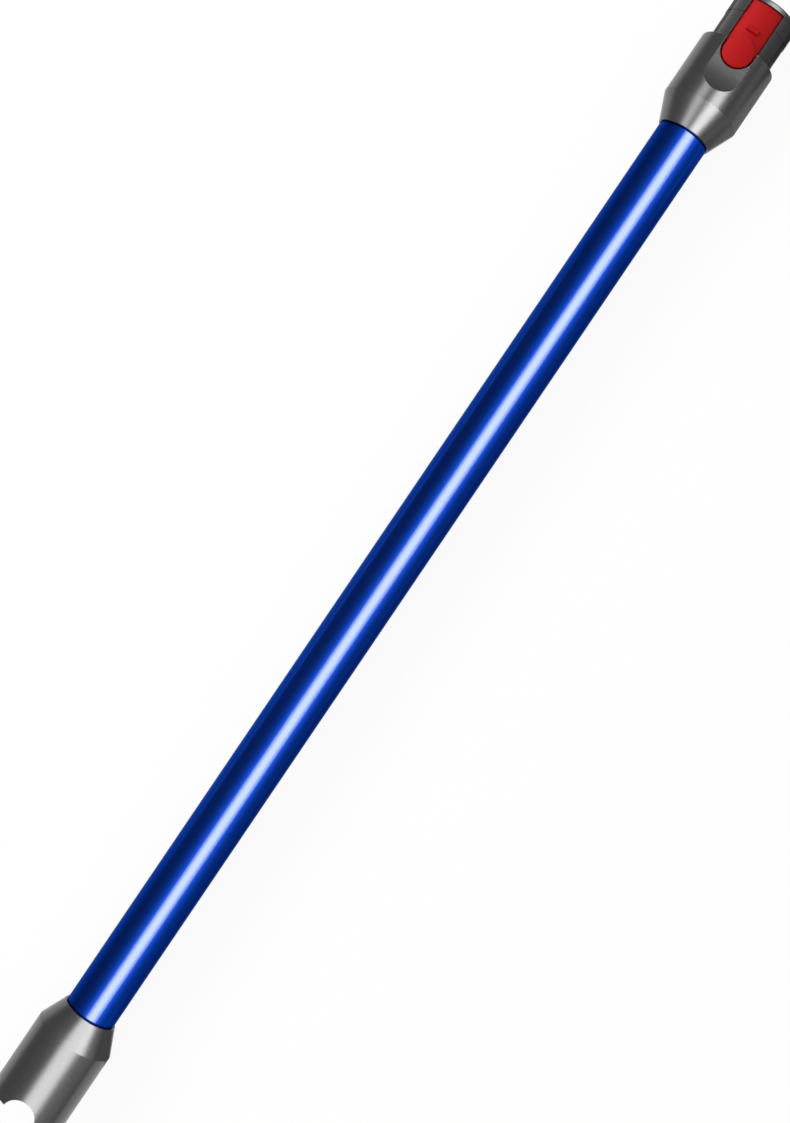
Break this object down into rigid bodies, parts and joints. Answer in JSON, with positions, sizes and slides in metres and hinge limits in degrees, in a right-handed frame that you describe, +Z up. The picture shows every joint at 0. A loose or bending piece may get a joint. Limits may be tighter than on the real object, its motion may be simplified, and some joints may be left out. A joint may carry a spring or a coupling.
{
  "type": "vacuum cleaner extension wand",
  "caption": "Fixed-length quick-release vacuum wand: blue aluminium tube with grey cuffs, a spigot with a red rocking release button at one end and a notched socket at the other.",
  "frame": {"origin": "middle of the wand's length, on the floor under its axis", "axes": "+X along the wand towards the spigot, +Z up through the release button"},
  "size_m": [0.7762, 0.0486, 0.0486],
  "materials": {
    "blue_anodised_aluminium": "glossy blue anodised aluminium tube",
    "metallic_grey_cuff": "satin metallic grey on moulded plastic",
    "grey_moulding": "satin dark grey moulded plastic",
    "red_button": "glossy red moulded plastic",
    "spring_steel": "bright spring wire",
    "black_plastic": "black moulded plastic",
    "red_lead": "red lead insulation",
    "black_lead": "black lead insulation",
    "brass_contact": "plain brass",
    "black_rubber": "black rubber seal",
    "screw_steel": "plated steel screws"
  },
  "bodies": {
    "wand": {"tube": "blue_anodised_aluminium", "upper_cuff": "metallic_grey_cuff", "lower_cuff": "metallic_grey_cuff", "spigot_body": "grey_moulding", "socket_liner": "grey_moulding", "button_spring": "spring_steel", "wire_conduit": "black_plastic", "lead_red": "red_lead", "lead_black": "black_lead", "plug_block": "black_plastic", "plug_pin_left": "brass_contact", "plug_pin_right": "brass_contact", "upper_tube_seal": "black_rubber", "upper_tube_screws": "screw_steel", "socket_seal": "black_rubber", "receptacle_block": "black_plastic", "receptacle_contact_left": "brass_contact", "receptacle_contact_right": "brass_contact", "lower_tube_seal": "black_rubber", "lower_tube_screws": "screw_steel"},
    "button": {"release_button": "red_button"}
  },
  "joints": [
    {"name": "button_press", "type": "hinge", "parent": "wand", "child": "button", "pos_m": [0.3818, 0, 0.0392], "axis": [0, -1, 0], "range_deg": [0, 3.5], "stiffness_Nm_per_rad": 0.6, "springref_deg": -5.73, "deforming": ["button_spring"]}
  ]
}
